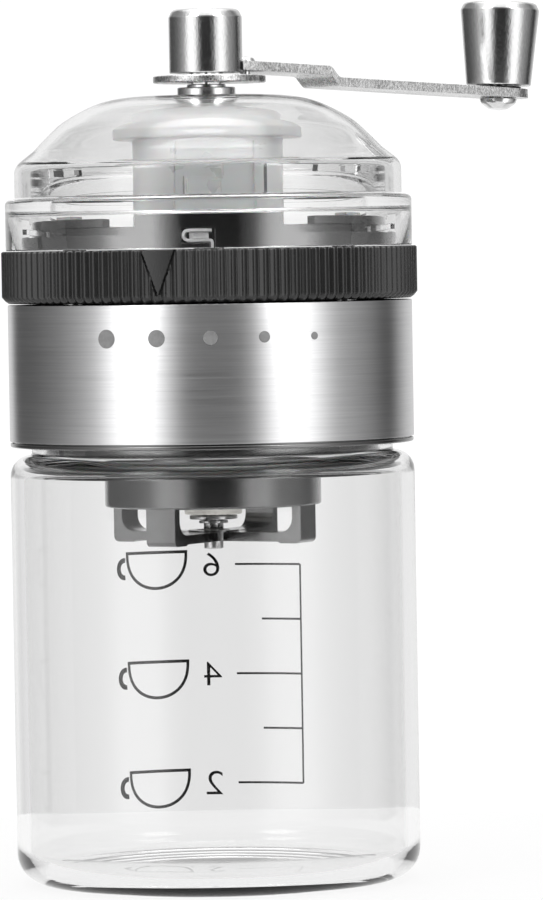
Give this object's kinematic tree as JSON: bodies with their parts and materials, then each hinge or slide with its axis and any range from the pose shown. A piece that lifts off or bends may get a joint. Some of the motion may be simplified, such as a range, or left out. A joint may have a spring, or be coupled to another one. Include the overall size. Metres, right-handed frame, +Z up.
{
  "type": "hand crank coffee grinder",
  "caption": "Hand coffee grinder: glass jar with a screw neck, steel-sleeved mill head with a ribbed adjusting ring, clear hopper and dome lid, and a side crank with a metal knob.",
  "frame": {"origin": "middle of the jar's flat foot", "axes": "+Z up along the mill's axis; the front, with the dots and the pointer, faces -Y"},
  "size_m": [0.1087, 0.0931, 0.173],
  "materials": {
    "glass": "polished",
    "silicone": "matte",
    "black_plastic": "satin",
    "ring_black": "matte",
    "gloss_black": "gloss",
    "clear_plastic": "clear gloss",
    "milky_plastic": "translucent satin",
    "brushed_steel": "brushed round the axis",
    "polished_steel": "polished",
    "chrome": "satin chrome",
    "spring_steel": "bright",
    "screw_steel": "zinc plated",
    "bronze": "sintered",
    "ceramic": "fired ceramic"
  },
  "bodies": {
    "jar": {"glass_jar": "glass"},
    "gasket": {"jar_gasket": "silicone"},
    "head": {"housing": "black_plastic", "steel_sleeve": "brushed_steel", "lock_collar": "gloss_black", "collar_screw_1": "screw_steel", "collar_screw_2": "screw_steel", "collar_screw_3": "screw_steel", "detent_spring": "spring_steel", "hopper_ring": "clear_plastic", "bearing_tower": "milky_plastic", "upper_bush": "polished_steel", "burr_spring": "spring_steel"},
    "adjuster": {"adjusting_ring": "ring_black", "hopper_funnel": "black_plastic", "ring_screw_1": "screw_steel", "ring_screw_2": "screw_steel", "ring_screw_3": "screw_steel", "outer_burr": "ceramic"},
    "carrier": {"burr_carrier": "black_plastic", "lower_bush": "bronze", "thrust_screw": "screw_steel"},
    "spindle": {"drive_shaft": "polished_steel", "inner_burr": "ceramic", "burr_washer": "screw_steel", "burr_clip": "screw_steel", "spring_clip": "spring_steel"},
    "lid": {"dome_lid": "clear_plastic"},
    "crank": {"crank_plate": "polished_steel", "hub_cap": "chrome", "drive_socket": "black_plastic", "crank_arm": "polished_steel", "arm_rivet": "polished_steel", "knob_axle": "polished_steel"},
    "knob": {"knob": "chrome", "knob_washer": "black_plastic"}
  },
  "joints": [
    {"name": "head_lift", "type": "slide", "parent": "jar", "child": "gasket", "axis": [0, 0, 1], "range_m": [0, 0.00601]},
    {"name": "head_unscrew", "type": "hinge", "parent": "gasket", "child": "head", "pos_m": [0, 0, 0.09], "axis": [0, 0, 1], "range_deg": [0, 540]},
    {"name": "ring_turn", "type": "hinge", "parent": "head", "child": "adjuster", "pos_m": [0, 0, 0.118], "axis": [0, 0, 1], "range_deg": [-15.05, 45.05]},
    {"name": "carrier_lift", "type": "slide", "parent": "head", "child": "carrier", "axis": [0, 0, 1], "range_m": [-0.0002, 0.0006], "deforming": ["burr_spring"]},
    {"name": "spindle_turn", "type": "hinge", "parent": "carrier", "child": "spindle", "pos_m": [0, 0, 0.1], "axis": [0, 0, 1], "continuous": true},
    {"name": "crank_lift_off", "type": "slide", "parent": "spindle", "child": "crank", "axis": [0, 0, 1], "range_m": [0, 0.013]},
    {"name": "knob_spin", "type": "hinge", "parent": "crank", "child": "knob", "pos_m": [0.0594, 0.04396, 0.15516], "axis": [0.0351, 0.0259, 0.999], "continuous": true},
    {"name": "lid_bayonet", "type": "hinge", "parent": "head", "child": "lid", "pos_m": [0, 0, 0.14], "axis": [0, 0, 1], "range_deg": [0, 14]}
  ],
  "couplings": [
    {"joint": "head_lift", "follows": "head_unscrew", "m_per_rad": 0.00063662},
    {"joint": "ring_turn", "follows": "carrier_lift", "rad_per_m": 1309}
  ]
}
